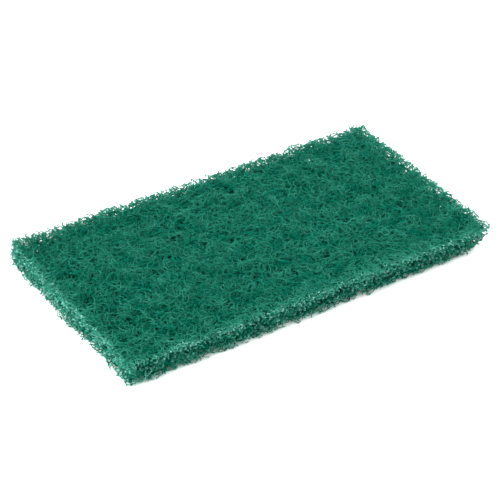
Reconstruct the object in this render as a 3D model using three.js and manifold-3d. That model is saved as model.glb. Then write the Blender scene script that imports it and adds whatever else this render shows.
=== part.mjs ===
// A nylon scouring pad: one block die-cut from a lofty web of crimped nylon fibres, bonded where
// they cross. The skin of the web is a net of raised crossings round open pits. Crimped strands
// curl over both faces, and loops and cut ends of strands stand out of the cut walls as a fringe.
// The strands are drawn thicker than single fibres, as the small bundles that the eye picks out.
// Units are millimetres. +X runs along the pad, +Y across it and +Z up, and the pad lies on z = 0
// with the origin under its middle.
import * as THREE from "three";
import { mergeVertices } from "three/addons/utils/BufferGeometryUtils.js";
import Module from "manifold-3d";

// Driving dimensions of the die-cut pad.
const LENGTH = 150;
const WIDTH = 84;
const THICKNESS = 10.5;

// The net of the web's skin.
const FRINGE = 2.1; // from the die line in to the skin of a cut wall
const LOFT = 1.1; // from the pad's upper side down to the highest lumps of its skin
const MESH = 3.9; // from one crossing of the net to the next
const JITTER = 0.26; // how far a crossing strays from its place, as a share of MESH
const WALL_ROWS = 3; // rows of meshes up a cut wall
const CROSSING_DEPTH = 0.5; // from the skin down to the lowest crossings
const PIT_DEPTH = 2.4; // from the skin down to the deepest pits
const LUMP_HEIGHT = 0.9; // from a hollow of a face to a lump
const LUMP_PITCH = 19; // from one lump to the next
const RESTING = 0.3; // how high unevenness rises before the underside is matted flat, from -1 to 1
const RAGGEDNESS = 0.6; // how far a cut wall wanders to each side of its line
const CORNER_RADIUS = 5; // where the frayed corners have worn round

// The strands.
const STRAND = 1.3; // thickness of one strand
const STRAND_SIDES = 3;
const STRAND_STEP = 2.6; // length of one straight facet along a strand
const STRAND_ROOT = 1; // how far below the deepest pit a strand's ends reach
const CURL_RUN = 38; // length of a strand that curls over a face
const CURL_PITCH = 30; // from one bend of a curl to the next one that turns the same way
const CURL_TURN = 1.5; // radians by which a curl swings to each side of its way
const TUFT_RUN = 11; // length of a strand that loops out of a cut wall
const TOP_PITCH = 29; // from one curl to the next on the pad's upper side
const UNDER_PITCH = 42; // and on its underside
const WALL_PITCH = 17; // from one tuft on a cut wall to the next
const END_PITCH = 9; // from one cut end on a cut wall to the next

const wasm = await Module();
wasm.setup();

const COLUMNS = Math.round(LENGTH / MESH);
const ROWS = Math.round(WIDTH / MESH);

// Repeatable random numbers from 0 to 1, so that the web comes out the same each time.
function randomFrom(seed) {
  let state = seed;
  return () => {
    state = (state + 0x6d2b79f5) | 0;
    let mixed = Math.imul(state ^ (state >>> 15), 1 | state);
    mixed = (mixed + Math.imul(mixed ^ (mixed >>> 7), 61 | mixed)) ^ mixed;
    return ((mixed ^ (mixed >>> 14)) >>> 0) / 2 ** 32;
  };
}

// A closed three.js geometry as a solid that can be joined and cut.
function solidOf(geometry) {
  geometry.deleteAttribute("normal");
  geometry.deleteAttribute("uv");
  const merged = mergeVertices(geometry, 1e-4);
  const vertProperties = merged.attributes.position.array;
  const triVerts = new Uint32Array(merged.index.array);
  return new wasm.Manifold(new wasm.Mesh({ numProp: 3, vertProperties, triVerts }));
}

// A solid as a three.js geometry with flat facets.
function geometryOf(solid) {
  const mesh = solid.getMesh();
  const geometry = new THREE.BufferGeometry();
  geometry.setAttribute("position", new THREE.BufferAttribute(mesh.vertProperties, 3));
  geometry.setIndex(new THREE.BufferAttribute(mesh.triVerts, 1));
  const flat = geometry.toNonIndexed();
  flat.computeVertexNormals();
  return flat;
}

// A smooth unevenness over a plane, from -1 to 1, highest at the plane's origin when phase is 0.
function unevenness(a, b, phase) {
  const turn = (2 * Math.PI) / LUMP_PITCH;
  const along = Math.cos(turn * a + phase);
  const across = Math.cos(turn * (0.45 * a + 0.9 * b) + 2.1 * phase);
  const aslant = Math.cos(turn * (0.8 * a - 0.7 * b) + 3.7 * phase);
  return (along + across + aslant) / 3;
}

// How far a point moves in along both axes so that the corner it is near is rounded, from its
// distances to the two cut walls.
function cornerPull(fromEnd, fromSide) {
  const near = Math.max(0, CORNER_RADIUS - fromEnd) * Math.max(0, CORNER_RADIUS - fromSide);
  return (near / CORNER_RADIUS) * (1 - Math.SQRT1_2);
}

// The height of the skin over a place. side is 1 on top and -1 below, where the web that carries the
// pad is matted flat.
function skinHeight(x, y, side) {
  if (side > 0) return THICKNESS - LOFT - LUMP_HEIGHT * (0.5 - 0.5 * unevenness(x, y, 1.3));
  return LUMP_HEIGHT * Math.max(0, RESTING - unevenness(x, y, 0));
}

// Where one crossing or pit of the skin lies, from its column, row and layer in the block. Each is
// counted from one wall or face, and one of them is at its end, because the point is on the skin.
// Every third point is a pit, so that each pit has crossings all round it.
function skinPoint(column, row, layer) {
  const random = randomFrom(column + 997 * row + 99991 * layer);
  const stray = () => (random() - 0.5) * 2 * JITTER * MESH;
  const halfLength = LENGTH / 2 - FRINGE;
  const halfWidth = WIDTH / 2 - FRINGE;
  const u = (2 * column) / COLUMNS - 1;
  const v = (2 * row) / ROWS - 1;
  const w = (2 * layer) / WALL_ROWS - 1;
  const onEnd = Math.abs(u) === 1;
  const onSide = Math.abs(v) === 1;
  const onFace = Math.abs(w) === 1;
  const onEdge = onEnd + onSide + onFace > 1;
  let place = column - v * layer;
  if (onEnd) place = row - u * layer;
  if (onFace) place = column + w * row;
  let x = u * halfLength + (onEnd ? 0 : stray());
  let y = v * halfWidth + (onSide ? 0 : stray());
  const corner = cornerPull(halfLength - Math.abs(x), halfWidth - Math.abs(y));
  const low = skinHeight(x, y, -1);
  const z = low + ((w + 1) / 2) * (skinHeight(x, y, 1) - low);
  let depth = CROSSING_DEPTH * random();
  if (place % 3 === 0 && !onEdge) depth = PIT_DEPTH * (0.7 + 0.3 * random());
  if (layer === 0 && low === 0) depth = 0;
  const endWander = RAGGEDNESS * unevenness(y, 3 * layer, 1 + Math.sign(u));
  const sideWander = RAGGEDNESS * unevenness(x, 3 * layer, 2 + Math.sign(v));
  x += u * endWander - Math.sign(x) * corner - (onEnd ? u * depth : 0);
  y += v * sideWander - Math.sign(y) * corner - (onSide ? v * depth : 0);
  return [x, y, z - (onFace ? w * depth : 0)];
}

// The packed web: a block whose skin is a net of crossings round pits.
function packedWeb() {
  const geometry = new THREE.BoxGeometry(COLUMNS, ROWS, WALL_ROWS, COLUMNS, ROWS, WALL_ROWS);
  const position = geometry.attributes.position;
  for (let i = 0; i < position.count; i++) {
    const column = Math.round(position.getX(i) + COLUMNS / 2);
    const row = Math.round(position.getY(i) + ROWS / 2);
    const layer = Math.round(position.getZ(i) + WALL_ROWS / 2);
    position.setXYZ(i, ...skinPoint(column, row, layer));
  }
  return solidOf(geometry);
}

// One strand along points, which are kept inside the die-cut block so that trimming only shaves it.
function strandAlong(points) {
  const least = new THREE.Vector3(-LENGTH / 2, -WIDTH / 2, STRAND / 2);
  const most = new THREE.Vector3(LENGTH / 2, WIDTH / 2, THICKNESS - STRAND / 2);
  const kept = points.map((point) => point.clone().clamp(least, most));
  const section = new THREE.Shape();
  for (let side = 0; side < STRAND_SIDES; side++) {
    const angle = (2 * Math.PI * side) / STRAND_SIDES;
    const corner = [(STRAND / 2) * Math.cos(angle), (STRAND / 2) * Math.sin(angle)];
    if (side) section.lineTo(...corner);
    else section.moveTo(...corner);
  }
  const extrudePath = new THREE.CatmullRomCurve3(kept);
  return solidOf(new THREE.ExtrudeGeometry(section, { steps: kept.length - 1, extrudePath }));
}

// A point moved in, if it has to be, to where the packed web is sure to hold it.
function heldIn(point) {
  const inset = FRINGE + RAGGEDNESS + PIT_DEPTH + STRAND_ROOT;
  const reach = new THREE.Vector3(LENGTH / 2 - inset, WIDTH / 2 - inset, THICKNESS);
  return point.clone().clamp(reach.clone().negate(), reach);
}

// A strand that leaves the web, curls over a face and goes back in, as near a place as the face has
// room for it. side is 1 on top, -1 below.
function faceCurl(place, side, random) {
  const heading = 2 * Math.PI * random();
  const phase = 2 * Math.PI * random();
  const steps = Math.round((CURL_RUN * (0.7 + 0.6 * random())) / STRAND_STEP);
  const points = [new THREE.Vector3()];
  for (let i = 0; i < steps; i++) {
    const swing = CURL_TURN * Math.sin((2 * Math.PI * i * STRAND_STEP) / CURL_PITCH + phase);
    const way = new THREE.Vector3(Math.cos(heading + swing), Math.sin(heading + swing), 0);
    points.push(points[i].clone().addScaledVector(way, STRAND_STEP));
  }
  const spread = new THREE.Box3().setFromPoints(points);
  const reach = spread.getSize(new THREE.Vector3()).divideScalar(2).addScalar(FRINGE);
  const room = new THREE.Vector3(LENGTH / 2, WIDTH / 2, 0).sub(reach).max(new THREE.Vector3());
  const middle = place.clone().clamp(room.clone().negate(), room);
  const shift = middle.sub(spread.getCenter(new THREE.Vector3()));
  points.forEach((point, i) => {
    const depth = i % steps ? -0.3 * STRAND : PIT_DEPTH + STRAND_ROOT;
    point.add(shift);
    point.z = skinHeight(point.x, point.y, side) - side * depth;
  });
  return strandAlong([heldIn(points[0]), ...points.slice(1, -1), heldIn(points[steps])]);
}

// A strand that curls out of a cut wall and back. place is on the die line, at the strand's height.
function wallTuft(place, outward, random) {
  const along = new THREE.Vector3(-outward.y, outward.x, 0);
  const depth = FRINGE + RAGGEDNESS + PIT_DEPTH + STRAND_ROOT;
  const spread = TUFT_RUN * (0.25 + 0.35 * random());
  const lean = (random() - 0.5) * TUFT_RUN * 0.4;
  const drop = (random() - 0.5) * THICKNESS * 0.5;
  const steps = Math.round((2 * depth + spread) / STRAND_STEP);
  const points = [];
  for (let i = 0; i <= steps; i++) {
    const share = i / steps;
    const out = Math.sin(Math.PI * share) ** 0.6;
    const crimp = 0.6 * STRAND * Math.sin(4 * Math.PI * share + 6 * lean);
    const point = place.clone();
    point.addScaledVector(outward, depth * (out - 1) + crimp * out);
    point.addScaledVector(along, spread * (share - 0.5) + lean * out);
    point.z += drop * (share - 0.5) + crimp;
    points.push(point);
  }
  return strandAlong([heldIn(points[0]), ...points.slice(1, -1), heldIn(points[steps])]);
}

// The cut end of a strand, which tapers from inside the web to the die line.
function cutEnd(place, outward, random) {
  const along = new THREE.Vector3(-outward.y, outward.x, 0);
  const depth = FRINGE + RAGGEDNESS + PIT_DEPTH + STRAND_ROOT;
  const reach = depth - FRINGE * 0.8 * random();
  const aim = outward.clone().addScaledVector(along, random() - 0.5);
  aim.z = 0.8 * (random() - 0.5);
  aim.normalize();
  const geometry = new THREE.CylinderGeometry(STRAND / 4, STRAND, reach, STRAND_SIDES);
  geometry.applyQuaternion(new THREE.Quaternion().setFromUnitVectors(THREE.Object3D.DEFAULT_UP, aim));
  const middle = place.clone().addScaledVector(outward, -depth).addScaledVector(aim, reach / 2);
  geometry.translate(middle.x, middle.y, middle.z);
  return solidOf(geometry);
}

// What make puts over a face, at a random place in each cell of a grid.
function overFace(side, pitch, random, make) {
  const columns = Math.max(1, Math.round(LENGTH / pitch));
  const rows = Math.max(1, Math.round(WIDTH / pitch));
  const made = [];
  for (let column = 0; column < columns; column++) {
    for (let row = 0; row < rows; row++) {
      const x = ((column + random()) / columns - 0.5) * LENGTH;
      const y = ((row + random()) / rows - 0.5) * WIDTH;
      made.push(make(new THREE.Vector3(x, y, 0), side, random));
    }
  }
  return made;
}

// What make puts along one cut wall, whose outward direction is given, at places a pitch apart.
function alongWall(outward, pitch, random, make) {
  const span = (outward.x ? WIDTH : LENGTH) - 2 * CORNER_RADIUS;
  const toWall = (outward.x ? LENGTH : WIDTH) / 2;
  const along = new THREE.Vector3(-outward.y, outward.x, 0);
  const count = Math.max(1, Math.round(span / pitch));
  const made = [];
  for (let i = 0; i < count; i++) {
    const share = (i + 0.1 + 0.8 * random()) / count - 0.5;
    const place = outward.clone().multiplyScalar(toWall);
    place.addScaledVector(along, share * span);
    place.z = THICKNESS * (0.15 + 0.7 * random());
    made.push(make(place, outward, random));
  }
  return made;
}

// The whole pad: the packed web, the strands that stand out of it, and the block that the die and
// the rollers leave.
function scouringPad() {
  const random = randomFrom(20);
  let pad = packedWeb();
  const over = overFace(1, TOP_PITCH, random, faceCurl);
  const under = overFace(-1, UNDER_PITCH, random, faceCurl);
  for (const curl of [...over, ...under]) pad = pad.add(curl);
  for (let quarter = 0; quarter < 4; quarter++) {
    const angle = (quarter * Math.PI) / 2;
    const outward = new THREE.Vector3(Math.round(Math.cos(angle)), Math.round(Math.sin(angle)), 0);
    const tufts = alongWall(outward, WALL_PITCH, random, wallTuft);
    const ends = alongWall(outward, END_PITCH, random, cutEnd);
    for (const strand of [...tufts, ...ends]) pad = pad.add(strand);
  }
  const block = new THREE.BoxGeometry(LENGTH, WIDTH, THICKNESS);
  block.translate(0, 0, THICKNESS / 2);
  return pad.intersect(solidOf(block));
}

const nylon = new THREE.MeshStandardMaterial({ color: 0x1d6f5a, roughness: 0.6, metalness: 0 });
const pad = new THREE.Mesh(geometryOf(scouringPad()), nylon);
pad.name = "nylon_web";

const model = new THREE.Group();
model.add(pad);

export default model;
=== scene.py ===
"""A green nylon scouring pad on a white surface.

The pad is a die-cut block of crimped nylon fibres, bonded where they cross. Each fibre here is a
thin closed tube that follows a crimped path of its own. The fibres are laid at random through the
block that the frame gives, more of them in some places than in others, and cut off at its walls.
Lengths are in millimetres up to the point where a mesh is made. Those of the floor, of the
camera's place and of its clipping are in metres.
"""

import math
from collections import namedtuple

import bpy
import numpy as np
from mathutils import Matrix, Vector


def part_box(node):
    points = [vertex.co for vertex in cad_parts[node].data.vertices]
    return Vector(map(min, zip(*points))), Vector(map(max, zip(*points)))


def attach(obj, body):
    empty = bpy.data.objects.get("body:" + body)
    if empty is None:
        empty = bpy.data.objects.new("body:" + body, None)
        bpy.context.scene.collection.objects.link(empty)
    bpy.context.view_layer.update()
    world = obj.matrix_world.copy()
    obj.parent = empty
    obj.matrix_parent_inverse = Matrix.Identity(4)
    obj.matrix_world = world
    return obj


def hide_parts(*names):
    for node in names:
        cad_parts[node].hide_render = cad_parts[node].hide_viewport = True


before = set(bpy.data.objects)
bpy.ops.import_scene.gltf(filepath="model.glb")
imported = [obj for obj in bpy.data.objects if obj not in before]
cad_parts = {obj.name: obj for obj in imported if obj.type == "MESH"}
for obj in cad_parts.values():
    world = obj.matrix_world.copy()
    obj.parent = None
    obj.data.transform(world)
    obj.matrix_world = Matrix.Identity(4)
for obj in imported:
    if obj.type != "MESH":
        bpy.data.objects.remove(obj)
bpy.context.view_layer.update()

MM = 0.001
NODE = "nylon_web"
PACKED_LOW, PACKED_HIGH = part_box(NODE)
LENGTH, WIDTH, THICKNESS = ((PACKED_HIGH - PACKED_LOW) / MM)[:]

# The kinds of fibre. Fine and coarse ones make the skin of the web, and thick bundles fill its
# heart, where hardly any light gets in. The step is the length of tube from one ring to the next.
# The bend is how much of the curvature below it takes on. The inset is from the die line in to the
# cut ends, from most of them to the loosest few, and below 0 an end stands out of the wall. The
# cover is the depth below both faces.
Fibre = namedtuple("Fibre", "radius length step bend inset cover")
FINE = Fibre(radius=0.1, length=20.0, step=0.75, bend=1.0, inset=(0.7, -1.6), cover=0.0)
COARSE = Fibre(radius=0.16, length=20.0, step=0.9, bend=1.0, inset=(0.6, -0.9), cover=0.0)
BUNDLE = Fibre(radius=0.5, length=26.4, step=2.4, bend=0.45, inset=(1.6, 0.9), cover=0.45)
SIDES = 3  # of each tube

# How a fibre bends. Curvature is the turn in radians over one millimetre.
CURL = 0.25  # spread of the steady curvature from fibre to fibre
CRIMP_PITCH = (5.0, 10.0)  # from one bend of the crimp to the next that turns the same way
CRIMP = (0.25, 0.95)  # curvature that the crimp adds and takes away
CLIMB_PITCH = (5.0, 12.0)  # from one rise of a fibre to the next
CLIMB = (0.3, 1.1)  # steepest slope up and down, in radians
THINNEST, THICKEST = 0.75, 1.25  # share of the radius of its kind that a fibre has

# The layers of the web. Density is in millimetres of fibre in each cubic millimetre.
UPPER_DEPTH = 2.2
UPPER_DENSITY = 2.85
WALL_DEPTH = 2.6
WALL_COVER = 0.3  # how far below the upper side the coarse fibres of the walls are laid
WALL_DENSITY = 3.4
UNDER_DEPTH = 1.2
UNDER_DENSITY = 0.75
HEART_DENSITY = 0.9
BEYOND = 6.0  # how far outside the die line fibres start
SHORTEST = 4  # rings of the shortest cut length that the bonds still hold

# The two faces.
LOFT = 0.6  # how far the loosest fibres stand above the rest of the upper side
LOOSENESS = 2.0  # how few of the fibres are loose
FLUFF = 0.3  # how far the loosest fibres stand above the nominal thickness
PRESS = 8.0  # how abruptly the faces stop a fibre
LUMP_HEIGHT = 0.4
LUMP_PITCH = 19.0
Wave = namedtuple("Wave", "along across phase")
LUMP_WAVES = (Wave(1.0, 0.0, 1.3), Wave(0.45, 0.9, 2.7), Wave(0.8, -0.7, 4.8))
CORNER_LIFT = 2.7  # how much higher the upper side is at the back left corner
LIFT_NEARNESS = 2  # how near to that corner the lift stays
CURLED_UP = 0.5  # share of that lift that the underside has too

# The cut walls.
CORNER_RADIUS = 2.5
WORN_RADIUS = 11.0  # of the front right corner at the underside
UNDERCUT = (0.4, 1.9)  # how much further in the underside is cut, at the left and right ends
UNDERCUT_NEARNESS = 2  # how near to the underside the undercut stays
BACK_SKEW = 1.2  # how far out of square the back wall is, at either end
ROUGH_CUT = 0.35  # how far in the cut walls wander
ROUGH_PITCH = 9.0
BURR = 2.0  # how much thicker the die leaves a cut end
# Light is painted near the cut walls: the pale cut ends are partly the nylon's pale cores and
# partly a painted highlight, and the rim of the upper side is painted lighter, as if lit from
# behind.
PALE_REACH = 2.0  # how near to a cut wall the fibres still have pale cut ends, and the rim its painted light
PALE_RINGS = (1.0, 0.5, 0.05)  # how pale the last ring of a cut end is, the next, and the rest
PALE_FEW = 1.9  # how few of the cut ends are pale
PAINTED_HIGHLIGHT_BELOW = 0.6  # how pale they are at the underside, against the upper side; the upper ones are paler with painted highlight
PAINTED_RIM_DEPTH = 3.0  # how deep the painted light of the rim of the upper side goes
RIM_PAINTED_GLOW = 0.16  # how much paler the painted light makes the rim, besides the cut ends
RIM_PAINTED_LIGHT = 0.6  # how much lighter a green the painted light makes the rim
PAINTED_LIGHT_REACH = 6.0  # how far in from the cut walls the rim is painted lighter

# Patches of the web, which differ in density and in colour.
PATCH_PITCH = 7.0
PATCH_SPREAD = (0.8, 1.9)  # of the pitch, from one wave to another
PATCH_WAVES = 24
PATCH_LEAN = 0.3  # how quickly they change from the upper side down, against along the pad
THINNED = 0.25  # share of the fibres that the thinnest patch lacks
THINNING = 0.7  # how quickly the web gets thinner towards such a patch
PATCH_TONE = 0.14  # how much lighter a green a dense patch is

# Colours. The tone of a fibre goes from the dark green at 0 to the light one at 1.
TONES = (0.1, 0.88)  # of the darkest fibre and of the lightest
DARK_GREEN = (0.0, 0.185, 0.114)
LIGHT_GREEN = (0.036, 0.368, 0.248)
# pale cut ends, partly a painted highlight, and the painted light of the rim
PALE_AND_PAINTED_LIGHT_GREEN = (0.42, 0.97, 0.85)

# The fine fibres that are drawn over the bundles, along the contour lines of a noise.
SHADED_GAP_GREEN = (0.0, 0.18, 0.113)  # painted shade between the drawn fibres
BUNDLE_GREEN = (0.0, 0.26, 0.166)
DRAWN_PITCH = 2.2  # of the noise
DRAWN_SPACING = 0.06  # change of the noise from the middle of a gap to that of a drawn fibre
DRAWN_EDGES = (0.2, 0.8)  # share of that change where the fibre begins and where it is full
NOISE_DETAIL = 1.0  # of this noise and of the coat's

# The resin coat, and the light that gets into the nylon under it.
COAT_PITCH = 0.5  # from one thick place of the resin coat to the next
COAT_DEPTH = 0.02
COAT_RANGE = (0.3, 0.7)  # the coat's noise where it is smoothest and where it is roughest
COAT_ROUGHNESS = (0.4, 0.62)
COAT_SHINE = (0.0, 0.12)  # of a fibre of tone 0 and of one of tone 1
COAT_IOR = 1.5
LET_IN = 0.6  # share of the light that the nylon lets in
LET_IN_REACH = 0.25  # how far that light goes inside a fibre
LET_IN_TINT = (0.3, 1.0, 0.8)  # share of that way that each of its colours goes

# The strips of the bake map, one for each cut length of fibre, in rows.
STRIP_WIDTH = 0.8  # nominal, because the rows share the height of the map
STRIP_GAP = 0.6  # from one strip of a row to the next
STRIP_MARGIN = 0.12  # share of a row that is free above its strips and below them
STRIP_TIP = STRIP_GAP / 3  # how far the cap of a tube reaches into the gap

PIECES = 6  # of about 165,000 triangles each

# The white surround, and the floor as it lights the pad and as the camera sees it.
SURROUND_LIGHT = 0.55
SURROUND_SEEN = 1.0
FLOOR_LIGHT = 0.9
FLOOR_SEEN = 2.4
FLOOR_SIZE = 60.0
FLOOR_DROP = 0.0001  # how far below the frame it lies

# The lamps. Angles are in degrees, the azimuth from the front of the pad round to its right.
Lamp = namedtuple("Lamp", "azimuth elevation strength softness")
LAMPS = {
    "key": Lamp(azimuth=-100, elevation=29, strength=2.45, softness=60),
    "fill": Lamp(azimuth=30, elevation=45, strength=0.52, softness=60),
    "back": Lamp(azimuth=150, elevation=25, strength=0.8, softness=60),
}

# The camera, from the corners and the outline of the pad in the photograph.
FOCAL_PIXELS = 2400.0
FRAME_PIXELS = 500.0
SENSOR = 36.0
CLIP_START, CLIP_END = 0.05, 100.0
CAMERA_AZIMUTH = -32.7
CAMERA_ELEVATION = 35.14
CAMERA_DISTANCE = 0.8515
CAMERA_SHIFT_RIGHT = -0.0007
CAMERA_SHIFT_UP = 0.0029

SEED = 56
random = np.random.default_rng(SEED)


def between(limits, count):
    """A column of random numbers between two limits."""
    return random.uniform(limits[0], limits[1], (count, 1))


class Field:
    """A smooth random field over the block, made of waves."""

    def __init__(self, pitch):
        direction = random.normal(size=(PATCH_WAVES, 3))
        direction[:, 2] *= PATCH_LEAN
        direction /= np.linalg.norm(direction, axis=1, keepdims=True)
        self.turn = direction * 2 * math.pi / (pitch * between(PATCH_SPREAD, PATCH_WAVES))
        self.phase = random.uniform(0, 2 * math.pi, PATCH_WAVES)

    def at(self, points):
        """The field at some points, about 0 in the mean."""
        total = np.zeros(points.shape[:-1])
        for turn, phase in zip(self.turn, self.phase):
            total += np.cos(points @ turn + phase)
        return total * math.sqrt(2 / PATCH_WAVES)

    def share(self, points):
        """The field as a share from 0 to 1, about a half in the mean."""
        return np.clip(0.5 + 0.5 * self.at(points), 0, 1)


patches = Field(PATCH_PITCH)
rough_cut = Field(ROUGH_PITCH)


def inside_distance(points, inset):
    """How far inside the cut walls each point lies, with the corners rounded."""
    x, y = points[..., 0], points[..., 1]
    depth = np.clip(1 - points[..., 2] / THICKNESS, 0, 1)
    worn = (x > 0) & (y < 0)
    radius = CORNER_RADIUS + (WORN_RADIUS - CORNER_RADIUS) * worn * depth
    undercut = np.interp(x, (-LENGTH / 2, LENGTH / 2), UNDERCUT)
    inset = inset + ROUGH_CUT * rough_cut.share(points)
    inset = inset + depth**UNDERCUT_NEARNESS * undercut
    skew = BACK_SKEW * (y > 0) * x / (LENGTH / 2)
    past_x = np.abs(x) - (LENGTH / 2 - inset - radius)
    past_y = np.abs(y) - (WIDTH / 2 - inset - skew - radius)
    round_corner = np.hypot(np.maximum(past_x, 0), np.maximum(past_y, 0))
    return radius - round_corner - np.minimum(np.maximum(past_x, past_y), 0)


def lumps(x, y):
    """The unevenness of the upper side, from 0 to 1."""
    turn = 2 * math.pi / LUMP_PITCH
    waves = [np.cos(turn * (wave.along * x + wave.across * y) + wave.phase) for wave in LUMP_WAVES]
    return 0.5 + sum(waves) / (2 * len(waves))


def fibre_paths(seeds, kind):
    """The points of each fibre, as an array of fibres by points by 3."""
    count = len(seeds)
    along = (np.arange(round(kind.length / kind.step)) + 0.5) * kind.step
    turn = 2 * math.pi * along
    phase, climb_phase, start = [between((0, 2 * math.pi), count) for _ in range(3)]
    curl = random.normal(0, CURL, (count, 1))
    crimp = between(CRIMP, count) * np.sin(turn / between(CRIMP_PITCH, count) + phase)
    heading = start + np.cumsum(curl + crimp, axis=1) * kind.bend * kind.step
    climb = between(CLIMB, count) * np.sin(turn / between(CLIMB_PITCH, count) + climb_phase)
    level = np.cos(climb)
    way = np.stack([level * np.cos(heading), level * np.sin(heading), np.sin(climb)], axis=2)
    path = np.concatenate([np.zeros((count, 1, 3)), np.cumsum(way * kind.step, axis=1)], axis=1)
    return path - path.mean(axis=1, keepdims=True) + seeds[:, None, :]


def pressed_between_faces(path, kind):
    """Bends the paths so that they stay between the underside and the uneven upper side."""
    loose = between((0, 1), len(path)) ** LOOSENESS
    upper_side = THICKNESS + FLUFF - LUMP_HEIGHT * lumps(path[..., 0], path[..., 1])
    to_left = np.clip(-path[..., 0] / (LENGTH / 2), 0, 1)
    to_back = np.clip(path[..., 1] / (WIDTH / 2), 0, 1)
    lift = CORNER_LIFT * (to_left * to_back) ** LIFT_NEARNESS
    low = kind.radius + kind.cover + CURLED_UP * lift
    high = upper_side + lift - LOFT * (1 - loose) - kind.radius - kind.cover
    middle = (low + high) / 2
    half = (high - low) / 2
    share = (path[..., 2] - middle) / half
    path[..., 2] = middle + half * share / (1 + np.abs(share) ** PRESS) ** (1 / PRESS)


def laid(low, high, density, kind, near_wall=None):
    """Fibres seeded between two heights, and only this near to a cut wall where that is given.

    Returns what is known of each of their points: its place, the cut length that it is on, the
    radius there, how light the fibre is, with painted light near the cut walls of the upper side,
    how pale its cut ends are, partly with a painted highlight, the painted light of the rim, and
    whether it is on a bundle.
    """
    reach = (LENGTH / 2 + BEYOND, WIDTH / 2 + BEYOND)
    least = np.array([-reach[0], -reach[1], low])
    most = np.array([reach[0], reach[1], high])
    count = int(density * np.prod(most - least) / kind.length)
    seeds = random.uniform(least, most, (count, 3))
    thinness = THINNED * np.clip(0.5 - THINNING * patches.at(seeds), 0, 1)
    keep = random.uniform(0, 1, count) > thinness
    if near_wall is not None:
        keep &= inside_distance(seeds, 0) < near_wall

    path = fibre_paths(seeds[keep], kind)
    pressed_between_faces(path, kind)
    each = (len(path), 1)
    usual, loosest = kind.inset
    inset = usual + (loosest - usual) * between((0, 1), len(path)) ** LOOSENESS
    within = inside_distance(path, inset)
    inside = within > 0
    begins = inside.copy()
    begins[:, 1:] &= ~inside[:, :-1]

    near = np.clip(1 - within / PALE_REACH, 0, 1)
    height = np.clip(path[..., 2] / THICKNESS, 0, 1)
    # Painted light: the upper side near the cut walls is made lighter, as if lit from behind.
    painted_rim_light = np.clip(1 - (1 - height) * THICKNESS / PAINTED_RIM_DEPTH, 0, 1)
    painted_edge_light = RIM_PAINTED_LIGHT * painted_rim_light * np.clip(1 - within / PAINTED_LIGHT_REACH, 0, 1)
    radius = kind.radius * random.uniform(THINNEST, THICKEST, each)
    # The tone differs at random and by patch, and also takes the painted light of the rim.
    tone = random.uniform(*TONES, each) + PATCH_TONE * patches.at(path) + painted_edge_light
    few = random.uniform(0, 1, each) ** PALE_FEW
    known = {
        "place": path,
        "run": np.cumsum(begins.reshape(-1)).reshape(inside.shape),
        "radius": np.broadcast_to(radius, inside.shape),
        "tone": tone,
        # Pale cut ends, partly a painted highlight, which is stronger towards the upper side.
        "pale_and_painted_light": near * few * (PAINTED_HIGHLIGHT_BELOW + (1 - PAINTED_HIGHLIGHT_BELOW) * height),
        # The painted light of the rim.
        "painted_rim_light": near * painted_rim_light * rough_cut.share(path) * RIM_PAINTED_GLOW * random.uniform(0, 1, each),
        "bundled": np.full(inside.shape, float(kind is BUNDLE)),
    }
    return {name: values[inside] for name, values in known.items()}


def all_fibres():
    """The fibres of every layer, from one end of the pad to the other."""
    upper = THICKNESS - UPPER_DEPTH
    layers = [
        laid(upper, THICKNESS, UPPER_DENSITY, FINE),
        laid(0, UNDER_DEPTH, UNDER_DENSITY, COARSE),
        laid(UNDER_DEPTH, THICKNESS - WALL_COVER, WALL_DENSITY, COARSE, near_wall=WALL_DEPTH),
        laid(UNDER_DEPTH, upper, HEART_DENSITY, BUNDLE),
    ]
    for earlier, later in zip(layers, layers[1:]):
        later["run"] += earlier["run"].max() + 1
    fibres = {name: np.concatenate([layer[name] for layer in layers]) for name in layers[0]}
    rings = np.bincount(fibres["run"])
    middle = np.bincount(fibres["run"], weights=fibres["place"][:, 0]) / np.maximum(rings, 1)
    order = np.argsort(middle[fibres["run"]], kind="stable")
    order = order[rings[fibres["run"][order]] >= SHORTEST]
    return {name: values[order] for name, values in fibres.items()}


def pieces_of(fibres):
    """The fibres in pieces of about the same size, each with whole cut lengths."""
    run = fibres["run"]
    count = len(run)
    cuts = [count * k // PIECES for k in range(PIECES + 1)]
    for k in range(1, PIECES):
        while run[cuts[k]] == run[cuts[k] - 1]:
            cuts[k] += 1
    for low, high in zip(cuts, cuts[1:]):
        yield {name: values[low:high] for name, values in fibres.items()}


def strip_places(along, run):
    """Where each cut length lies on the bake map: its start and its row, and the map's size."""
    length = np.zeros(run.max() + 1)
    np.maximum.at(length, run, along)
    row_length = math.sqrt(length.sum() * STRIP_WIDTH)
    start = np.zeros(len(length))
    row = np.zeros(len(length))
    longest_first = np.argsort(-length)
    placed = 0
    rows = 0
    while placed < len(length):
        room = length[longest_first[placed]] + STRIP_GAP
        here = longest_first[placed : placed + int(row_length / room)]
        start[here] = np.arange(len(here)) * room + STRIP_GAP / 2
        row[here] = rows
        placed += len(here)
        rows += 1
    return start, row, row_length, rows


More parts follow.
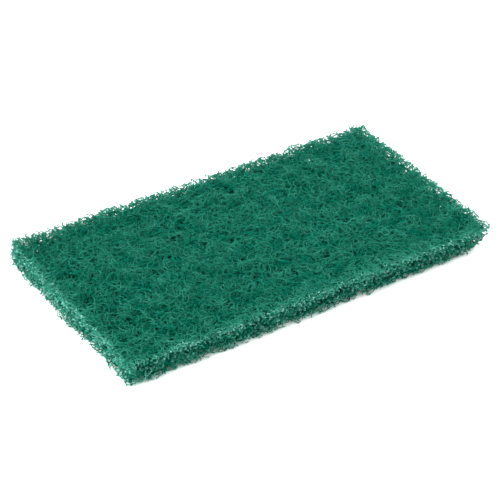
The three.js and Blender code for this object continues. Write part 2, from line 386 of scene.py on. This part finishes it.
def bake_strips(step, here, first, last):
    """The bake map: for each cut length a strip, and in it a band for each side of the tube.

    Given are the steps between the rings, and the rings that a quad starts from, that are the
    first of a tube and that are its last.
    """
    side = np.arange(SIDES)
    travelled = np.concatenate([[0], np.cumsum(np.linalg.norm(step, axis=1))])
    run = np.repeat(np.arange(len(first)), (last - first)[:, 0] + 1)
    along = travelled - travelled[first[run, 0]]
    start, row, row_length, rows = strip_places(along, run)
    u = (start[run] + along) / row_length
    band = 1 - 2 * STRIP_MARGIN
    lower = (row[run][:, None] + STRIP_MARGIN + band * side / SIDES) / rows
    upper = lower + band / SIDES / rows
    pairs = [(u[here], lower[here[:, 0]]), (u[here], upper[here[:, 0]])]
    pairs += [(u[here + 1], upper[here[:, 0]]), (u[here + 1], lower[here[:, 0]])]
    corners = [np.stack(np.broadcast_arrays(*pair), axis=2) for pair in pairs]
    maps = [np.stack(corners, axis=2).reshape(-1, 2)]
    tip = STRIP_TIP / row_length * (side == 1)
    for ring, turned, way in ((first, side[::-1], -1), (last, side, 1)):
        cap_u = u[ring] + way * tip[turned]
        maps.append(np.stack([cap_u, lower[ring[:, 0]][:, turned]], axis=2).reshape(-1, 2))
    return np.concatenate(maps)


def paleness_and_painted_light(fibres, begins, ends):
    """How pale each point is, most of all at the cut ends, partly a painted highlight, plus
    painted rim light.
    """
    cut = begins | ends
    beside = np.zeros(len(cut), dtype=bool)
    beside[1:] |= begins[:-1]
    beside[:-1] |= ends[1:]
    last, next_to_last, rest = PALE_RINGS
    share = np.where(cut, last, np.where(beside, next_to_last, rest))
    # Pale cut ends, partly a painted highlight, and the painted light of the rim.
    return fibres["pale_and_painted_light"] * share + fibres["painted_rim_light"]


def tubes(fibres):
    """A closed tube along each cut length: its vertices, faces, bake map and tints, painted light
    among them.
    """
    place = fibres["place"]
    same = fibres["run"][1:] == fibres["run"][:-1]
    begins = np.concatenate([[True], ~same])
    ends = np.concatenate([~same, [True]])
    step = np.where(same[:, None], place[1:] - place[:-1], 0)
    nothing = np.zeros((1, 3))
    ahead = np.concatenate([step, nothing]) + np.concatenate([nothing, step])
    ahead /= np.linalg.norm(ahead, axis=1, keepdims=True)
    aside = np.cross(ahead, (0.0, 0.0, 1.0))
    aside /= np.linalg.norm(aside, axis=1, keepdims=True)
    across = np.cross(aside, ahead)

    radius = np.where(begins | ends, BURR, 1) * fibres["radius"]
    angles = 2 * math.pi * np.arange(SIDES) / SIDES
    spokes = np.cos(angles)[:, None] * aside[:, None] + np.sin(angles)[:, None] * across[:, None]
    vertices = (place[:, None] + radius[:, None, None] * spokes).reshape(-1, 3)

    here = np.nonzero(same)[0][:, None]
    first = np.nonzero(begins)[0][:, None]
    last = np.nonzero(ends)[0][:, None]
    side = np.arange(SIDES)
    following = (side + 1) % SIDES
    corners = [SIDES * here + side, SIDES * here + following]
    corners += [SIDES * (here + 1) + following, SIDES * (here + 1) + side]
    quads = np.stack(corners, axis=2).reshape(-1, 4)
    caps = np.concatenate([SIDES * first + side[::-1], SIDES * last + side])

    bake_map = bake_strips(step, here, first, last)
    pale_and_painted_light = paleness_and_painted_light(fibres, begins, ends)
    tints = {"tone": fibres["tone"], "pale_and_painted_light": pale_and_painted_light, "bundled": fibres["bundled"]}
    tints = {name: np.repeat(values, SIDES) for name, values in tints.items()}
    return vertices, quads, caps, bake_map, tints


def fibre_piece(name, fibres, material):
    """A mesh object of fibres."""
    vertices, quads, caps, bake_map, tints = tubes(fibres)
    corners = np.concatenate([quads.reshape(-1), caps.reshape(-1)])
    sizes = np.concatenate([np.full(len(quads), 4), np.full(len(caps), SIDES)])
    starts = np.concatenate([[0], np.cumsum(sizes)[:-1]])
    mesh = bpy.data.meshes.new(name)
    mesh.vertices.add(len(vertices))
    mesh.vertices.foreach_set("co", (vertices * MM).astype(np.float32).reshape(-1))
    mesh.loops.add(len(corners))
    mesh.loops.foreach_set("vertex_index", corners.astype(np.int32))
    mesh.polygons.add(len(sizes))
    mesh.polygons.foreach_set("loop_start", starts.astype(np.int32))
    mesh.polygons.foreach_set("use_smooth", np.ones(len(sizes), dtype=bool))
    mesh.update(calc_edges=True)
    strips = mesh.uv_layers.new(name="OFBake")
    strips.data.foreach_set("uv", bake_map.astype(np.float32).reshape(-1))
    for tint, values in tints.items():
        attribute = mesh.attributes.new(tint, "FLOAT", "POINT")
        attribute.data.foreach_set("value", values.astype(np.float32))
    mesh.validate()
    mesh.materials.append(material)
    piece = bpy.data.objects.new(name, mesh)
    bpy.context.scene.collection.objects.link(piece)
    return piece


def green_nylon():
    """Green nylon fibre with a thin resin coat and painted light near the cut walls, and fine
    fibres drawn over the bundles with painted shade between them.
    """
    material = bpy.data.materials.new("green_nylon")
    material.use_nodes = True
    nodes = material.node_tree.nodes
    links = material.node_tree.links
    surface = nodes["Principled BSDF"]
    place = nodes.new("ShaderNodeTexCoord").outputs["Object"]

    def tint(name):
        node = nodes.new("ShaderNodeAttribute")
        node.attribute_name = name
        return node.outputs["Fac"]

    def noise(pitch):
        node = nodes.new("ShaderNodeTexNoise")
        node.inputs["Scale"].default_value = 1 / (pitch * MM)
        node.inputs["Detail"].default_value = NOISE_DETAIL
        links.new(place, node.inputs["Vector"])
        return node.outputs["Fac"]

    def spread(value, limits, results):
        node = nodes.new("ShaderNodeMapRange")
        node.inputs["From Min"].default_value, node.inputs["From Max"].default_value = limits
        node.inputs["To Min"].default_value, node.inputs["To Max"].default_value = results
        links.new(value, node.inputs["Value"])
        return node.outputs["Result"]

    def mixed(factor, first, second):
        node = nodes.new("ShaderNodeMix")
        node.data_type = "RGBA"
        links.new(factor, node.inputs["Factor"])
        sockets = [socket for socket in node.inputs if socket.type == "RGBA"]
        for value, socket in zip((first, second), sockets):
            if isinstance(value, tuple):
                socket.default_value = (*value, 1)
            else:
                links.new(value, socket)
        return [socket for socket in node.outputs if socket.type == "RGBA"][0]

    waves = nodes.new("ShaderNodeMath")
    waves.operation = "PINGPONG"
    waves.inputs[1].default_value = DRAWN_SPACING
    links.new(noise(DRAWN_PITCH), waves.inputs[0])
    edges = [DRAWN_SPACING * share for share in DRAWN_EDGES]
    # Painted shade in the gaps between the drawn fibres.
    drawn = mixed(spread(waves.outputs[0], edges, (0, 1)), SHADED_GAP_GREEN, BUNDLE_GREEN)
    # The tone carries the painted light of the rim too.
    fibre = mixed(tint("tone"), DARK_GREEN, LIGHT_GREEN)
    # Pale cut ends, partly a painted highlight, and the painted light of the rim.
    cut = mixed(tint("pale_and_painted_light"), fibre, PALE_AND_PAINTED_LIGHT_GREEN)
    links.new(mixed(tint("bundled"), cut, drawn), surface.inputs["Base Color"])

    coat = noise(COAT_PITCH)
    links.new(spread(coat, COAT_RANGE, COAT_ROUGHNESS), surface.inputs["Roughness"])
    bump = nodes.new("ShaderNodeBump")
    bump.inputs["Distance"].default_value = COAT_DEPTH * MM
    links.new(coat, bump.inputs["Height"])
    links.new(bump.outputs["Normal"], surface.inputs["Normal"])
    links.new(spread(tint("tone"), (0, 1), COAT_SHINE), surface.inputs["Specular IOR Level"])
    surface.inputs["IOR"].default_value = COAT_IOR
    surface.inputs["Subsurface Weight"].default_value = LET_IN
    surface.inputs["Subsurface Radius"].default_value = LET_IN_TINT
    surface.inputs["Subsurface Scale"].default_value = LET_IN_REACH * MM
    return material


def web():
    """All the fibres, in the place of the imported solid."""
    material = green_nylon()
    for number, fibres in enumerate(pieces_of(all_fibres()), start=1):
        piece = fibre_piece(f"web_bay_{number}", fibres, material)
        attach(piece, "root")
        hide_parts(NODE)


def as_seen(nodes, links, light, seen):
    """One number for the light that a surface gives, and another for how it is seen.

    The camera sees the second, also in what is glossy or clear.
    """
    ray = nodes.new("ShaderNodeLightPath")
    total = ray.outputs["Is Camera Ray"]
    for name in ("Is Glossy Ray", "Is Transmission Ray"):
        either = nodes.new("ShaderNodeMath")
        either.operation = "MAXIMUM"
        links.new(total, either.inputs[0])
        links.new(ray.outputs[name], either.inputs[1])
        total = either.outputs[0]
    level = nodes.new("ShaderNodeMapRange")
    level.inputs["To Min"].default_value = light
    level.inputs["To Max"].default_value = seen
    links.new(total, level.inputs["Value"])
    return level.outputs["Result"]


def floor():
    """A white floor, which keeps the shadow of the pad."""
    bpy.ops.mesh.primitive_plane_add(size=FLOOR_SIZE, location=(0, 0, -FLOOR_DROP))
    plane = bpy.context.object
    plane.name = "floor"
    material = bpy.data.materials.new("white_floor")
    material.use_nodes = True
    nodes, links = material.node_tree.nodes, material.node_tree.links
    nodes.clear()
    output = nodes.new("ShaderNodeOutputMaterial")
    diffuse = nodes.new("ShaderNodeBsdfDiffuse")
    links.new(as_seen(nodes, links, FLOOR_LIGHT, FLOOR_SEEN), diffuse.inputs["Color"])
    links.new(diffuse.outputs["BSDF"], output.inputs["Surface"])
    plane.data.materials.append(material)


def surround():
    """A white world."""
    world = bpy.data.worlds.new("white_surround")
    bpy.context.scene.world = world
    world.use_nodes = True
    nodes, links = world.node_tree.nodes, world.node_tree.links
    background = nodes["Background"]
    background.inputs["Color"].default_value = (1, 1, 1, 1)
    level = as_seen(nodes, links, SURROUND_LIGHT, SURROUND_SEEN)
    links.new(level, background.inputs["Strength"])


def towards(azimuth, elevation):
    """The direction to an azimuth and an elevation in degrees."""
    a, e = math.radians(azimuth), math.radians(elevation)
    return Vector((math.sin(a) * math.cos(e), -math.cos(a) * math.cos(e), math.sin(e)))


def lamp(name, kind):
    """One soft distant lamp."""
    light = bpy.data.lights.new(name, "SUN")
    light.energy = kind.strength
    light.angle = math.radians(kind.softness)
    item = bpy.data.objects.new(name, light)
    item.rotation_euler = towards(kind.azimuth, kind.elevation).to_track_quat("Z", "Y").to_euler()
    bpy.context.scene.collection.objects.link(item)


def camera():
    """The camera at the photograph's place."""
    back = towards(CAMERA_AZIMUTH, CAMERA_ELEVATION)
    azimuth = math.radians(CAMERA_AZIMUTH)
    right = Vector((math.cos(azimuth), math.sin(azimuth), 0))
    up = back.cross(right)
    data = bpy.data.cameras.new("camera")
    data.sensor_width = SENSOR
    data.lens = FOCAL_PIXELS * SENSOR / FRAME_PIXELS
    data.clip_start = CLIP_START
    data.clip_end = CLIP_END
    item = bpy.data.objects.new("camera", data)
    place = back * CAMERA_DISTANCE + right * CAMERA_SHIFT_RIGHT + up * CAMERA_SHIFT_UP
    turned = Matrix((right, up, back)).transposed().to_4x4()
    item.matrix_world = Matrix.Translation(place) @ turned
    bpy.context.scene.collection.objects.link(item)
    bpy.context.scene.camera = item


web()
floor()
surround()
for name, kind in LAMPS.items():
    lamp(name, kind)
camera()
bpy.context.scene.view_settings.view_transform = "Standard"
